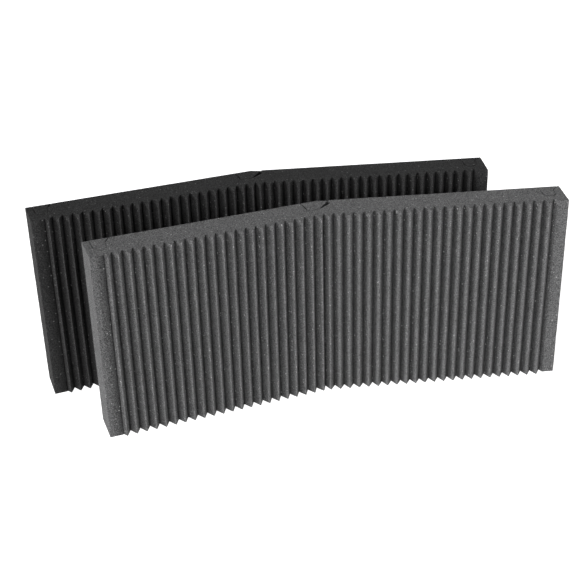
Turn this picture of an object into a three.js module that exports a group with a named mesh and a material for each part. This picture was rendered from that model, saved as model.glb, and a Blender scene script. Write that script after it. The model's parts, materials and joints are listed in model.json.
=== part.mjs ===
// Microphone isolation shield: two identical acoustic-foam panels, one behind the other.
// Each panel is a contour-cut slab with a row of 60-degree wedges on its front, bent at a
// thin web near its middle. Three channels are cut into its back, and each still holds
// the foam core that was cut out of it.
// Millimetres. +X along the panel, +Y away from the wedges, +Z up, the floor at z = 0.
import * as THREE from 'three';

// Foam section, in plan. y = 0 is the valley line of the wedges.
const PITCH = 12.7;            // wedge to wedge
const WEDGE_DEPTH = 11.4;      // crest to valley
const BACK = 39.4;             // valley line to back face: 50.8 overall
const HEIGHT = 254;
const WEDGES_LEFT = 22;        // wedges left of the bend
const WEDGES_RIGHT = 23;
const PAD_LEFT = 17.8;         // plain strip at each end
const PAD_RIGHT = 15.5;

// Bend: the panel turns about the valley it pivots on.
const BEND_DEG = 7.4;          // each wing from the straight line
const WEB_DEG = 6;             // the web's two faces stand this far apart
const WEB_SLIT = 0.3;          // gap between the wings at the pivot

// Channels in the back face. The right side of each opens out towards the back.
const KERF = 0.3;              // gap round a foam core
const END_HALF = 8.5;          // half width of an end channel
const END_ROUND_Y = 18.7;      // centre of its round bottom
const FLARE_Y = 27.5;          // its right side opens out from here
const FLARE = 7.7;             // and is this much wider at the back face
const LEFT_CHANNEL = -0.4;     // centre, from the start of the first wedge
const RIGHT_CHANNEL = -3.6;    // centre, from the end of the last valley's half flank
const MID_LEFT = -15.3;        // left side of the middle channel, from the bend
const MID_BOTTOM = 15;
const MID_CORNER = 4.5;

// The middle channel's right side, on the right wing: a slanted cut, back to a lip that
// nearly closes it, and the cut-off corner behind the lip.
const SLANT_START = [0, 17.3];
const SLANT_END = [11.1, 29.7];
const LIP = [9.5, 35.1];
const MOUTH = [11.5, BACK];

// The same side of the core in it, in line with the left wing. An open notch lies
// between the two while the panel is bent, and the core's back corner is cut off.
const CORE_HEEL = [0.8, 15.4];
const CORE_START = [2.8, 17.1];
const CORE_TIP = [17.2, 32];
const CORE_CUT = [16.4, 35];
const CORE_BACK = [7, BACK];

// The second panel stands behind the first, a little to the left.
const REAR_OFFSET = [-62, 119];

const CHARCOAL = 0x4b4c4f;
const BLACK = 0x1b1b1d;
const ARC_STEPS = 8;

const rad = THREE.MathUtils.degToRad;

function rotate([x, y], deg) {
  const c = Math.cos(rad(deg));
  const s = Math.sin(rad(deg));
  return [x * c - y * s, x * s + y * c];
}

function arc(cx, cy, r, from, to) {
  return Array.from({ length: ARC_STEPS + 1 }, (_, i) => {
    const a = rad(from + ((to - from) * i) / ARC_STEPS);
    return [cx + r * Math.cos(a), cy + r * Math.sin(a)];
  });
}

const leftStart = -(WEDGES_LEFT - 0.25) * PITCH;
const rightEnd = (WEDGES_RIGHT + 0.25) * PITCH;
const endCentres = { left: leftStart + LEFT_CHANNEL, right: rightEnd + RIGHT_CHANNEL };

// Wall of an end channel from the left of its mouth, round the bottom, to the flared
// right of its mouth. shrink is 0 for the wall and KERF for the core inside it.
function endChannel(centre, shrink) {
  const half = END_HALF - shrink;
  const round = arc(0, END_ROUND_Y, half, 180, 360);
  const points = [
    [-half, BACK],
    ...round,
    [half, FLARE_Y],
    [half + FLARE, BACK],
  ];
  return points.map(([x, y]) => [centre + x, y]);
}

// Left side of the middle channel, from the back face down to its bottom corner.
function midLeft(shrink) {
  const x = MID_LEFT + shrink;
  const bottom = MID_BOTTOM + shrink;
  const corner = arc(x + MID_CORNER, bottom + MID_CORNER, MID_CORNER, 180, 270);
  return [[x, BACK], ...corner];
}

function leftWing() {
  const points = [[-WEB_SLIT / 2, 0]];
  for (let i = 0; i < WEDGES_LEFT; i += 1) {
    points.push([-(i + 0.5) * PITCH, -WEDGE_DEPTH]);
    if (i < WEDGES_LEFT - 1) points.push([-(i + 1) * PITCH, 0]);
  }
  points.push([leftStart, -WEDGE_DEPTH / 2], [leftStart - PAD_LEFT, -WEDGE_DEPTH / 2]);
  points.push([leftStart - PAD_LEFT, BACK]);
  points.push(...endChannel(endCentres.left, 0));
  points.push(...midLeft(0), [-WEB_SLIT / 2, MID_BOTTOM]);
  return points;
}

function rightWing() {
  const points = [[WEB_SLIT / 2, 0]];
  for (let i = 0; i < WEDGES_RIGHT; i += 1) {
    points.push([(i + 0.5) * PITCH, -WEDGE_DEPTH], [(i + 1) * PITCH, 0]);
  }
  points.push([rightEnd, -WEDGE_DEPTH / 2], [rightEnd + PAD_RIGHT, -WEDGE_DEPTH / 2]);
  points.push([rightEnd + PAD_RIGHT, BACK]);
  points.push(...endChannel(endCentres.right, 0).reverse());
  points.push(MOUTH, LIP, SLANT_END, SLANT_START);
  points.push(rotate([WEB_SLIT / 2, MID_BOTTOM], 2 * BEND_DEG - WEB_DEG));
  return points;
}

function midCore() {
  return [...midLeft(KERF), CORE_HEEL, CORE_START, CORE_TIP, CORE_CUT, CORE_BACK];
}

function foam(name, outline, color, turn) {
  const shape = new THREE.Shape(outline.map(([x, y]) => new THREE.Vector2(x, y)));
  const geometry = new THREE.ExtrudeGeometry(shape, { depth: HEIGHT, bevelEnabled: false });
  const material = new THREE.MeshStandardMaterial({ color, roughness: 0.95, metalness: 0 });
  const mesh = new THREE.Mesh(geometry, material);
  mesh.name = name;
  mesh.rotation.z = rad(turn);
  return mesh;
}

function panel(prefix, color) {
  const group = new THREE.Group();
  group.name = `${prefix}_panel`;
  group.add(
    foam(`${prefix}_wing_left`, leftWing(), color, BEND_DEG),
    foam(`${prefix}_wing_right`, rightWing(), color, -BEND_DEG),
    foam(`${prefix}_core_left`, endChannel(endCentres.left, KERF), color, BEND_DEG),
    foam(`${prefix}_core_middle`, midCore(), color, BEND_DEG),
    foam(`${prefix}_core_right`, endChannel(endCentres.right, KERF), color, -BEND_DEG),
  );
  return group;
}

const front = panel('front', CHARCOAL);
const rear = panel('rear', BLACK);
rear.position.set(REAR_OFFSET[0], REAR_OFFSET[1], 0);

// The origin is the middle of the pair's footprint, on the floor.
const shield = new THREE.Group();
shield.name = 'microphone_isolation_shield';
shield.add(front, rear);
shield.updateMatrixWorld(true);
const centre = new THREE.Box3().setFromObject(shield, true).getCenter(new THREE.Vector3());
shield.position.set(-centre.x, -centre.y, 0);
shield.updateMatrixWorld(true);

export default shield;
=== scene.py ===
"""Microphone isolation shield: two bare acoustic-foam panels, one behind the other.

Each panel is one sheet of open-cell foam with a row of wedges on its front. It folds at a
thin web, and three channels in its back still hold the cores that were cut out of them.
Lengths in the outlines are millimetres, as in the CAD; everything in Blender is metres.
"""
import json
import math

import bpy
import numpy as np
from mathutils import Matrix, Vector, geometry, noise


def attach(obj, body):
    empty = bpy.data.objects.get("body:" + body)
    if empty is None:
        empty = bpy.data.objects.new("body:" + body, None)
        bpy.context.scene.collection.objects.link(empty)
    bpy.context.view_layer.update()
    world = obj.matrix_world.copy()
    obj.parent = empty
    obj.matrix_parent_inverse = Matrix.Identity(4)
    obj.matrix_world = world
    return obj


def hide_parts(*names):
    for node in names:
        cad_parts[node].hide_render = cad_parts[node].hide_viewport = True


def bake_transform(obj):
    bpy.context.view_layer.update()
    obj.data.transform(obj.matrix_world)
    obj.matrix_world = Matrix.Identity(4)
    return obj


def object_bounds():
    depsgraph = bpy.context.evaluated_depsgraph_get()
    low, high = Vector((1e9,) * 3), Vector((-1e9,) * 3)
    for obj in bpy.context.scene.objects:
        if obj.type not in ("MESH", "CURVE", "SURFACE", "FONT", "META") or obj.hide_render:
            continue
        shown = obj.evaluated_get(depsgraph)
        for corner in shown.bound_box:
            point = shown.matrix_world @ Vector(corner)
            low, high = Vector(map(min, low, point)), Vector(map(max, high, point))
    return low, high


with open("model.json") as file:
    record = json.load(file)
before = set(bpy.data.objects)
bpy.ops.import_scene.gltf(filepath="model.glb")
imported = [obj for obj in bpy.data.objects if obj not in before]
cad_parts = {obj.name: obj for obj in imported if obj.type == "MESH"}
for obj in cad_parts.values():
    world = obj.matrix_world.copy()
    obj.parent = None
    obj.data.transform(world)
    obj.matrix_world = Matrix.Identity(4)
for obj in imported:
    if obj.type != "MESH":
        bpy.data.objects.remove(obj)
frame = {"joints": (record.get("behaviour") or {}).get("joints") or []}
CAD_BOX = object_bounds()
MM = 0.001

# ---------------------------------------------------------------- foam section
# The CAD's section in plan, with y = 0 on the valley line. Only SLANT_END, CORE_TIP and
# CORE_CUT differ: up to 3.3 mm further out here, so that the notch's mouth is nearly shut.
PITCH = 12.7
WEDGE_DEPTH = 11.4
BACK = 39.4
WEDGES_LEFT = 22
WEDGES_RIGHT = 23
PAD_LEFT = 17.8
PAD_RIGHT = 15.5
END_HALF = 8.5
END_ROUND_Y = 18.7
FLARE_Y = 27.5
FLARE = 7.7
LEFT_CHANNEL = -0.4
RIGHT_CHANNEL = -3.6
MID_LEFT = -15.3
MID_BOTTOM = 15.0
MID_CORNER = 4.5
WEB_START = (-4.0, 15.0)      # the middle channel's bottom meets the web here
SLANT_START = (0.0, 17.3)
SLANT_END = (12.2, 29.7)
LIP = (9.5, 35.1)
MOUTH = (11.5, 39.4)
CORE_HEEL = (0.8, 15.4)
CORE_START = (2.8, 17.1)
CORE_TIP = (17.8, 32.0)
CORE_CUT = (19.3, 33.4)
CORE_BACK = (7.0, 39.4)

# ---------------------------------------------------------------- softness of the cut foam
# How far a corner is rounded off along each of its sides. The length also says what kind
# of corner it is: CREST_CUT marks a paler crest, and INNER_CUT, VALLEY_CUT or none a sunk
# corner with painted shade.
CREST_CUT = 0.4        # the crests, and the corner at the notch's mouth
VALLEY_CUT = 0.3
INNER_CUT = 0.2        # corners inside a channel, and the knife line's two edges
CORNER_CUT = 0.8
SHADE_DEPTH = 1.5      # a channel's walls get painted shade from this far inside its mouth
ROUND_STEPS = 3
SUPPORT = 0.35         # a corner's rounding doesn't shade the flat beyond this
STEP = 3.2             # longest straight piece of an outline
CHANNEL_STEPS = 12     # pieces of an end channel's round bottom
ROWS = 80              # height divisions
RIM = 0.3              # rounding of the top and bottom edges
RIM_MIDDLE = 0.3       # the rounding's middle point, as a share of RIM
GROOVE = 1.3           # depth of the knife line at the foot of the first wedge
GROOVE_WIDTH = 0.5     # and its width at the plain strip
CAP_GRID = 4.5         # spacing of the points inside a top or bottom face
CAP_MARGIN = 1.2       # they keep this far from the face's edge
SHARP_DEGREES = 35

# Unevenness of the skin: how high each wave is and the size of its features.
BROAD_HEIGHT, BROAD_SIZE = 0.22, 26
SMALL_HEIGHT, SMALL_SIZE = 0.12, 7
CREST_HEIGHT, CREST_SIZE = 0.25, 5.0
CREST_LOSS = 0.15      # a crest is worn down by this much
CAP_HEIGHT, CAP_SIZE = 0.12, 9

LEFT_START = -(WEDGES_LEFT - 0.25) * PITCH
RIGHT_END = (WEDGES_RIGHT + 0.25) * PITCH
HEIGHT = (CAD_BOX[1].z - CAD_BOX[0].z) / MM


def turned(points, degrees):
    """Points turned anticlockwise about the origin. What follows x and y stays with them."""
    c, s = math.cos(math.radians(degrees)), math.sin(math.radians(degrees))
    return [(x * c - y * s, x * s + y * c, *rest) for x, y, *rest in points]


def arc(cx, cy, radius, start, end, steps=8):
    """Points along an arc between two angles in degrees."""
    angles = [math.radians(start + (end - start) * i / steps) for i in range(steps + 1)]
    return [(cx + radius * math.cos(a), cy + radius * math.sin(a), 0.0) for a in angles]


# An outline point is (x, y, cut): the corner there is rounded off over the length cut.
def end_channel(centre):
    """An end channel, from the left of its mouth round the bottom to the flared right."""
    wall = [(-END_HALF, BACK, CORNER_CUT), (-END_HALF, BACK - SHADE_DEPTH, 0.0)]
    wall += arc(0, END_ROUND_Y, END_HALF, 180, 360, CHANNEL_STEPS)
    inward = SHADE_DEPTH / (BACK - FLARE_Y)
    wall += [
        (END_HALF, FLARE_Y, INNER_CUT),
        (END_HALF + FLARE * (1 - inward), BACK - SHADE_DEPTH, 0.0),
        (END_HALF + FLARE, BACK, CORNER_CUT),
    ]
    return [(centre + x, y, cut) for x, y, cut in wall]


def mid_left():
    """Left side of the middle channel, from the back face down to its bottom corner."""
    corner = arc(MID_LEFT + MID_CORNER, MID_BOTTOM + MID_CORNER, MID_CORNER, 180, 270)
    return [(MID_LEFT, BACK, CORNER_CUT), (MID_LEFT, BACK - SHADE_DEPTH, 0.0), *corner]


def wedges(count, side):
    """Crests and valleys from the bend outward, the last half flank and the plain strip."""
    points = []
    for i in range(count):
        points.append((side * (i + 0.5) * PITCH, -WEDGE_DEPTH, CREST_CUT))
        if i < count - 1 or side > 0:
            points.append((side * (i + 1) * PITCH, 0.0, VALLEY_CUT))
    start = LEFT_START if side < 0 else RIGHT_END
    width = PAD_LEFT if side < 0 else PAD_RIGHT
    if side < 0:
        foot = start - GROOVE * PITCH / (2 * WEDGE_DEPTH)
        points.append((foot, GROOVE - WEDGE_DEPTH / 2, INNER_CUT))
        points.append((foot - GROOVE_WIDTH, -WEDGE_DEPTH / 2, INNER_CUT))
    else:
        points.append((start, -WEDGE_DEPTH / 2, CORNER_CUT))
    points.append((start + side * width, -WEDGE_DEPTH / 2, CORNER_CUT))
    points.append((start + side * width, BACK, CORNER_CUT))
    return points


def panel_outline(bend):
    """The whole sheet in plan, clockwise seen from above, the pivot at the origin."""
    left = wedges(WEDGES_LEFT, -1)
    left += end_channel(LEFT_START + LEFT_CHANNEL)
    left += [*mid_left(), (*WEB_START, 0.0)]
    right = wedges(WEDGES_RIGHT, 1)
    right += reversed(end_channel(RIGHT_END + RIGHT_CHANNEL))
    right += [(*MOUTH, CREST_CUT)]
    right += [(*point, INNER_CUT) for point in (LIP, SLANT_END, SLANT_START)]
    return [(0.0, 0.0, VALLEY_CUT), *turned(left, bend), *reversed(turned(right, -bend))]


def mid_core():
    """The middle channel's core, whose right side faces the notch."""
    right = [(*point, INNER_CUT) for point in (CORE_HEEL, CORE_START, CORE_TIP, CORE_CUT)]
    return [*mid_left(), *right, (*CORE_BACK, CORNER_CUT)]


def softened(points):
    """Rounds off the corners, then divides the straight pieces. Each point also gets its
    share of a crest line and how open it lies: 0 in a valley, 1 out of the grooves; the
    material paints shade where it lies less open."""
    n = len(points)
    rounded = []
    for i, (x, y, cut) in enumerate(points):
        here = np.array([x, y])
        crest = 1.0 if cut == CREST_CUT else 0.0
        # How open the point lies; where it is low, the material paints shade.
        open_share = 0.0 if cut in (0.0, INNER_CUT, VALLEY_CUT) else 1.0
        if cut == 0.0:
            rounded.append((here, crest, open_share))
            continue
        before = np.array(points[i - 1][:2]) - here
        after = np.array(points[(i + 1) % n][:2]) - here
        a = here + before / np.linalg.norm(before) * cut
        b = here + after / np.linalg.norm(after) * cut
        for k in range(ROUND_STEPS + 1):
            t = k / ROUND_STEPS
            point = (1 - t) ** 2 * a + 2 * t * (1 - t) * here + t * t * b
            rounded.append((point, crest, open_share))
    divided = []
    m = len(rounded)
    for i in range(m):
        (p, cp, op), (q, cq, oq) = rounded[i], rounded[(i + 1) % m]
        length = np.linalg.norm(q - p)
        count = max(1, math.ceil(length / STEP))
        shares = [k / count for k in range(count)]
        if length > 4 * SUPPORT:
            near = SUPPORT / length
            shares = [0.0, near, *(s for s in shares if near < s < 1 - near), 1 - near]
        for t in shares:
            edge = max(cp * (1 - t * length), cq * (1 - (1 - t) * length), 0.0)
            divided.append((*(p + (q - p) * t), edge, op + (oq - op) * t))
    return np.array(divided)


def signed_area(outline):
    """Twice the area, positive where the outline runs anticlockwise."""
    x, y = outline[:, 0], outline[:, 1]
    return np.sum(x * np.roll(y, -1) - np.roll(x, -1) * y)


def normals_of(outline):
    """Unit normals that point out of the outline."""
    forward = np.roll(outline[:, :2], -1, 0) - np.roll(outline[:, :2], 1, 0)
    forward /= np.linalg.norm(forward, axis=1)[:, None]
    normal = np.stack([-forward[:, 1], forward[:, 0]], 1)
    return normal if signed_area(outline) < 0 else -normal


def wave(x, y, z, size, seed):
    """Smooth noise of about that feature size, from -1 to 1. The seed moves it along."""
    return noise.noise(Vector((x / size + seed * 7.31, y / size, z / size - seed * 3.17)))


def foam_solid(name, outline, seed, place):
    """A standing foam piece cut along the outline, with softened rims and an uneven skin."""
    if signed_area(outline) > 0:
        outline = outline[::-1]
    normal = normals_of(outline)
    n = len(outline)
    levels = [(0.0, RIM), (RIM * RIM_MIDDLE, RIM * RIM_MIDDLE), (RIM, 0.0)]
    levels += [(RIM + (HEIGHT - 2 * RIM) * k / ROWS, 0.0) for k in range(1, ROWS)]
    levels += [(HEIGHT - z, inset) for z, inset in reversed(levels[:3])]
    coords, crest, shade_openness = [], [], []
    for z, inset in levels:
        at_end = z in (0.0, HEIGHT)
        for (x, y, c, o), (nx, ny) in zip(outline, normal):
            swell = BROAD_HEIGHT * wave(x, y, z, BROAD_SIZE, seed)
            swell += SMALL_HEIGHT * wave(x, y, z, SMALL_SIZE, seed + 1)
            swell += c * (CREST_HEIGHT * wave(x, y, z, CREST_SIZE, seed + 2) - CREST_LOSS)
            out = swell - inset
            coords.append((x + nx * out, y + ny * out, z))
            crest.append(c)
            shade_openness.append(1.0 if at_end else o)
    faces = []
    for row in range(len(levels) - 1):
        base, above = row * n, (row + 1) * n
        for i in range(n):
            j = (i + 1) % n
            faces.append((base + j, base + i, above + i, above + j))
    for row, top in ((0, False), (len(levels) - 1, True)):
        rim = np.array([coords[row * n + i][:2] for i in range(n)])
        z = coords[row * n][2]
        cap_points, cap_faces = cap(rim)
        index = [row * n + i for i in range(n)]
        for x, y in cap_points[n:]:
            index.append(len(coords))
            lift = CAP_HEIGHT * wave(x, y, z, CAP_SIZE, seed + 3)
            coords.append((x, y, z + (lift - CAP_HEIGHT if top else CAP_HEIGHT - lift)))
            crest.append(0.0)
            shade_openness.append(1.0)
        for f in cap_faces:
            face = [index[i] for i in f]
            faces.append(face if top else face[::-1])
    mesh = bpy.data.meshes.new(name)
    points = np.array(coords) * MM + np.array([place[0], place[1], 0.0])
    mesh.from_pydata([tuple(p) for p in points], [], faces)
    mesh.validate()
    for attribute, values in (("crest", crest), ("shade_openness", shade_openness)):
        made = mesh.attributes.new(attribute, "FLOAT", "POINT")
        made.data.foreach_set("value", np.array(values, np.float32))
    rest = mesh.attributes.new("rest", "FLOAT_VECTOR", "POINT")
    rest.data.foreach_set("vector", points.astype(np.float32).ravel())
    mesh.shade_smooth()
    mesh.set_sharp_from_angle(angle=math.radians(SHARP_DEGREES))
    obj = bpy.data.objects.new(name, mesh)
    bpy.context.scene.collection.objects.link(obj)
    return obj


def cap(rim):
    """Triangles that fill a closed outline, with points spread inside it."""
    n = len(rim)
    low, high = rim.min(0), rim.max(0)
    grid = [
        (x + (0.5 * CAP_GRID if row % 2 else 0.0), y)
        for row, y in enumerate(np.arange(low[1], high[1], CAP_GRID))
        for x in np.arange(low[0], high[0], CAP_GRID)
    ]
    grid = np.array(grid)
    keep = inside(grid, rim)
    points = [Vector(p) for p in rim] + [Vector(p) for p in grid[keep]]
    edges = [(i, (i + 1) % n) for i in range(n)]
    result = geometry.delaunay_2d_cdt(points, edges, [], 1, 1e-6)
    found, _, faces = result[:3]
    return [tuple(p) for p in found], [tuple(f) for f in faces]


def inside(grid, rim):
    """Which grid points lie in the outline and clear of it."""
    x, y = grid[:, 0], grid[:, 1]
    odd = np.zeros(len(grid), bool)
    near = np.full(len(grid), 1e9)
    for (ax, ay), (bx, by) in zip(rim, np.roll(rim, -1, 0)):
        crosses = (ay > y) != (by > y)
        if ay != by:
            odd ^= crosses & (x < (bx - ax) * (y - ay) / (by - ay) + ax)
        near = np.minimum(near, (x - ax) ** 2 + (y - ay) ** 2)
    return odd & (near > CAP_MARGIN ** 2)


# ---------------------------------------------------------------- materials
GROOVE_SHADE_TONE = 0.36     # painted shade: the foam's colour is darkened to this share deep in a groove or channel
GROOVE_SHADE_OPEN = 0.8      # the painted shade is gone where it lies this open
CELLS = (820, 820, 820)         # how often each pattern repeats in a metre, along x, y, z
GRAIN = (700, 700, 700)
MOTTLE = (160, 160, 55)
SPARKS = (210, 210, 210)
CELL_DEPTH = 0.0005


def foam_material(name, base, glint_colour):
    """Open-cell foam of the base colour, with painted glints: sparse cells of the glint colour,
    and painted shade in its grooves.
    """
    mat = bpy.data.materials.new(name)
    mat.use_nodes = True
    tree = mat.node_tree
    nodes, links = tree.nodes, tree.links
    shader = nodes["Principled BSDF"]
    shader.inputs["Specular IOR Level"].default_value = 0.08
    shader.inputs["Diffuse Roughness"].default_value = 0.5

    def node(kind, **values):
        made = nodes.new(kind)
        for key, value in values.items():
            setattr(made, key, value)
        return made

    def maths(operation, a, b):
        made = node("ShaderNodeMath", operation=operation)
        for socket, value in zip(made.inputs, (a, b)):
            if isinstance(value, (int, float)):
                socket.default_value = value
            else:
                links.new(value, socket)
        return made.outputs[0]

    def ramp(value, low, high, to_low=0.0, to_high=1.0):
        made = node("ShaderNodeMapRange")
        links.new(value, made.inputs["Value"])
        made.inputs["From Min"].default_value = low
        made.inputs["From Max"].default_value = high
        made.inputs["To Min"].default_value = to_low
        made.inputs["To Max"].default_value = to_high
        return made.outputs[0]

    rest = node("ShaderNodeAttribute", attribute_name="rest")
    crest = node("ShaderNodeAttribute", attribute_name="crest")
    shade_openness = node("ShaderNodeAttribute", attribute_name="shade_openness")

    def scaled(repeats):
        made = node("ShaderNodeVectorMath", operation="MULTIPLY")
        links.new(rest.outputs["Vector"], made.inputs[0])
        made.inputs[1].default_value = repeats
        return made.outputs[0]

    # Open cells, about a millimetre across, with pits between their struts.
    cells = node("ShaderNodeTexVoronoi", feature="SMOOTH_F1")
    cells.inputs["Smoothness"].default_value = 0.3
    cells.inputs["Scale"].default_value = 1.0
    links.new(scaled(CELLS), cells.inputs["Vector"])
    grain = node("ShaderNodeTexNoise")
    grain.inputs["Scale"].default_value = 1.0
    grain.inputs["Detail"].default_value = 3.0
    grain.inputs["Roughness"].default_value = 0.6
    links.new(scaled(GRAIN), grain.inputs["Vector"])
    mottle = node("ShaderNodeTexNoise")
    mottle.inputs["Scale"].default_value = 1.0
    mottle.inputs["Detail"].default_value = 2.0
    links.new(scaled(MOTTLE), mottle.inputs["Vector"])

    # Painted glints: sparse bright cell walls painted into the colour where they would catch
    # the light, more of them on the crests.
    sparks = node("ShaderNodeTexVoronoi", feature="F1")
    sparks.inputs["Scale"].default_value = 1.0
    links.new(scaled(SPARKS), sparks.inputs["Vector"])
    chosen = node("ShaderNodeSeparateColor")
    links.new(sparks.outputs["Color"], chosen.inputs[0])
    near = ramp(sparks.outputs["Distance"], 0.08, 0.22, 1.0, 0.0)
    odds = ramp(crest.outputs["Fac"], 0.0, 1.0, 0.55, 0.35)
    lucky = maths("GREATER_THAN", chosen.outputs[0], odds)
    bright = ramp(chosen.outputs[1], 0.0, 1.0, 0.25, 1.0)
    painted_glint = maths("MULTIPLY", maths("MULTIPLY", near, lucky), bright)

    # The tone: pits, grain, mottle, paler crests and painted shade that darkens the grooves.
    pits = ramp(cells.outputs["Distance"], 0.15, 0.75, 1.12, 0.80)
    fine = ramp(grain.outputs["Fac"], 0.36, 0.64, 0.4, 1.6)
    broad = ramp(mottle.outputs["Fac"], 0.3, 0.7, 0.94, 1.06)
    # The crests are paler, up to 12 % lighter along the crest line.
    crest_paling = ramp(crest.outputs["Fac"], 0.0, 1.0, 1.0, 1.12)
    # Painted shade: the colour darkens deep in grooves, valleys and channels.
    painted_groove_shade = ramp(shade_openness.outputs["Fac"], 0.0, GROOVE_SHADE_OPEN, GROOVE_SHADE_TONE, 1.0)
    surface = maths("MULTIPLY", maths("MULTIPLY", pits, fine), maths("MULTIPLY", broad, crest_paling))
    tone = maths("MULTIPLY", surface, painted_groove_shade)

    colour = node("ShaderNodeMix", data_type="RGBA", blend_type="MULTIPLY")
    colour.inputs["Factor"].default_value = 1.0
    colour.inputs[6].default_value = (*base, 1.0)
    links.new(tone, colour.inputs[7])
    lit = node("ShaderNodeMix", data_type="RGBA")
    links.new(painted_glint, lit.inputs["Factor"])
    links.new(colour.outputs[2], lit.inputs[6])
    lit.inputs[7].default_value = (*glint_colour, 1.0)
    links.new(lit.outputs[2], shader.inputs["Base Color"])

    links.new(ramp(grain.outputs["Fac"], 0.3, 0.7, 0.86, 1.0), shader.inputs["Roughness"])

    height = maths("SUBTRACT", maths("MULTIPLY", grain.outputs["Fac"], 0.8),
                   cells.outputs["Distance"])
    bump = node("ShaderNodeBump")
    bump.inputs["Strength"].default_value = 0.8
    bump.inputs["Distance"].default_value = CELL_DEPTH
    links.new(height, bump.inputs["Height"])
    links.new(bump.outputs["Normal"], shader.inputs["Normal"])
    return mat


# The second colour of each foam is that of its painted glints.
CHARCOAL = foam_material("charcoal_foam", (0.092, 0.092, 0.093), (0.34, 0.34, 0.34))
BLACK = foam_material("black_foam", (0.026, 0.026, 0.0262), (0.14, 0.14, 0.14))


# ---------------------------------------------------------------- the two panels
joints = {joint["name"]: joint for joint in frame["joints"]}
BEND_REACH = 0.0055    # a distance either side of the web's pivot
CORE_SEED = 5          # a core's skin is uneven in another way than its sheet's

# Where each core's slit stands open: (x, y, reach, extra gap) in line with its wing.
SLITS = {
    "left": [(-262.6, 34.0, 6.5, 1.2), (-285.0, 23.0, 4.0, 0.7)],
    "middle": [(-15.3, 24.6, 7.0, 1.4)],
    "right": [
        (283.0, 20.0, 5.0, 0.7),
        (287.5, 11.5, 4.0, 0.4),
        (294.0, 10.4, 4.0, 0.4),
        (298.2, 12.8, 1.8, 1.3),
        (301.9, 28.5, 4.5, 0.7),
    ],
}
CLOSED_SLIT = 0.18
FACE_DEPTH = 0.5       # a core stays flush with the back within this depth of it


def core_outline(wall, slits):
    """A core's outline: its channel's wall, less the slit between them."""
    outline = softened(wall)
    normal = normals_of(outline)
    gap = np.full(len(outline), CLOSED_SLIT)
    for x, y, reach, extra in slits:
        away = np.hypot(outline[:, 0] - x, outline[:, 1] - y)
        gap += extra * np.exp(-((away / reach) ** 2))
    outline[:, 0] -= normal[:, 0] * gap
    outline[:, 1] -= np.where(outline[:, 1] > BACK - FACE_DEPTH, 0.0, normal[:, 1] * gap)
    return outline


def build_panel(side, material, seed):
    """One panel: its sheet and a core in each channel."""
    hinge = joints[f"{side}_bend"]["pos_m"]
    lean = joints[f"{side}_pull_left"]["axis"]
    bend = math.degrees(math.atan2(-lean[0], lean[1]))
    sheet = foam_solid(f"{side}_foam_sheet", softened(panel_outline(bend)), seed, hinge)
    sheet.data.materials.append(material)
    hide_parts(f"{side}_wing_left", f"{side}_wing_right")
    start, end = Vector(hinge), Vector(hinge)
    start.x -= BEND_REACH
    end.x += BEND_REACH
    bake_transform(sheet)

    for where, wall, turn in (
        ("left", end_channel(LEFT_START + LEFT_CHANNEL), bend),
        ("middle", mid_core(), bend),
        ("right", end_channel(RIGHT_END + RIGHT_CHANNEL), -bend),
    ):
        outline = core_outline(wall, SLITS[where])
        placed = np.array(turned([tuple(p) for p in outline], turn))
        core = foam_solid(f"{side}_foam_core_{where}", placed, seed + CORE_SEED, hinge)
        core.data.materials.append(material)
        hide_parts(f"{side}_core_{where}")
        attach(core, f"{side}_plug_{where}")


build_panel("front", CHARCOAL, 1)
build_panel("rear", BLACK, 21)

# ---------------------------------------------------------------- floor, light and camera
front_hinge = Vector(joints["front_bend"]["pos_m"])
front_hinge.z = 0.0

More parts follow.
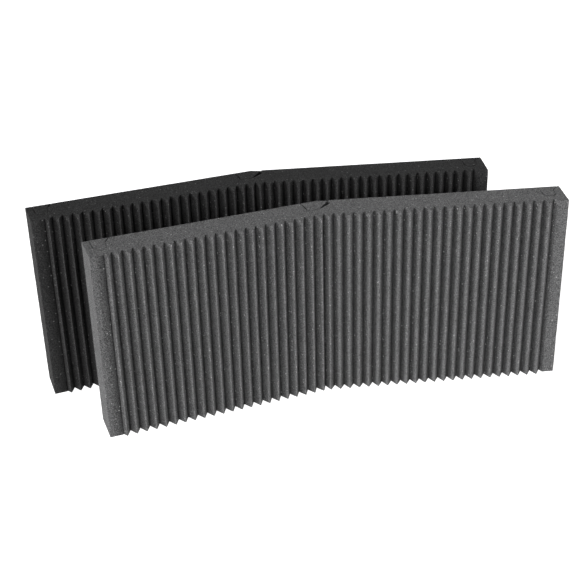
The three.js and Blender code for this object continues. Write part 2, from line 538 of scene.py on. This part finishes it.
SPAN = 12.0
floor_mesh = bpy.data.meshes.new("floor")
floor_mesh.from_pydata(
    [(-SPAN, -SPAN, 0), (SPAN, -SPAN, 0), (SPAN, SPAN, 0), (-SPAN, SPAN, 0)], [], [(0, 1, 2, 3)]
)
floor = bpy.data.objects.new("floor", floor_mesh)
bpy.context.scene.collection.objects.link(floor)
paper = bpy.data.materials.new("pale_floor")
paper.use_nodes = True
paper_shader = paper.node_tree.nodes["Principled BSDF"]
paper_shader.inputs["Base Color"].default_value = (0.45, 0.45, 0.45, 1.0)
paper_shader.inputs["Roughness"].default_value = 0.9
paper_shader.inputs["Specular IOR Level"].default_value = 0.1
paper_shader.inputs["Emission Color"].default_value = (1.0, 1.0, 1.0, 1.0)
paper_shader.inputs["Emission Strength"].default_value = 1.0
floor_mesh.materials.append(paper)

world = bpy.data.worlds.new("studio")
bpy.context.scene.world = world
world.use_nodes = True
background = world.node_tree.nodes["Background"]
background.inputs["Color"].default_value = (1.0, 1.0, 1.0, 1.0)
background.inputs["Strength"].default_value = 0.02


def soft_light(name, azimuth, elevation, spread, strength):
    """A distant soft light. Azimuth is from the front, towards the left."""
    a, e = math.radians(azimuth), math.radians(elevation)
    away = Vector((-math.sin(a) * math.cos(e), -math.cos(a) * math.cos(e), math.sin(e)))
    data = bpy.data.lights.new(name, "SUN")
    data.angle = math.radians(spread)
    data.energy = strength
    lamp = bpy.data.objects.new(name, data)
    lamp.rotation_euler = away.to_track_quat("Z", "Y").to_euler()
    bpy.context.scene.collection.objects.link(lamp)


soft_light("key", 73, 31, 16, 3.0)
soft_light("fill", 24, 20, 27, 2.4)
soft_light("rim", -55, 20, 20, 1.15)
soft_light("overhead", 0, 85, 60, 0.35)

# The camera's place is from the foot of the front panel's bend; its angles are radians.
CAMERA_FROM_HINGE = (-0.3240, -1.2930, 0.8740)
AZIMUTH, ELEVATION, ROLL = 0.2317, 0.4995, -0.0190
LENS = 73.58
SHIFT_X = -0.0345

ca, sa, ce, se = math.cos(AZIMUTH), math.sin(AZIMUTH), math.cos(ELEVATION), math.sin(ELEVATION)
ahead = Vector((sa * ce, ca * ce, -se))
across = Vector((ca, -sa, 0.0))
above = across.cross(ahead)
right = across * math.cos(ROLL) + above * math.sin(ROLL)
up = above * math.cos(ROLL) - across * math.sin(ROLL)
camera_data = bpy.data.cameras.new("camera")
camera_data.lens = LENS
camera_data.sensor_width = 36
camera_data.shift_x = SHIFT_X
camera_data.clip_end = 50
camera = bpy.data.objects.new("camera", camera_data)
camera.matrix_world = Matrix.Translation(front_hinge + Vector(CAMERA_FROM_HINGE)) @ Matrix(
    (right, up, -ahead)
).transposed().to_4x4()
bpy.context.scene.collection.objects.link(camera)
bpy.context.scene.camera = camera
bpy.context.scene.view_settings.view_transform = "Standard"
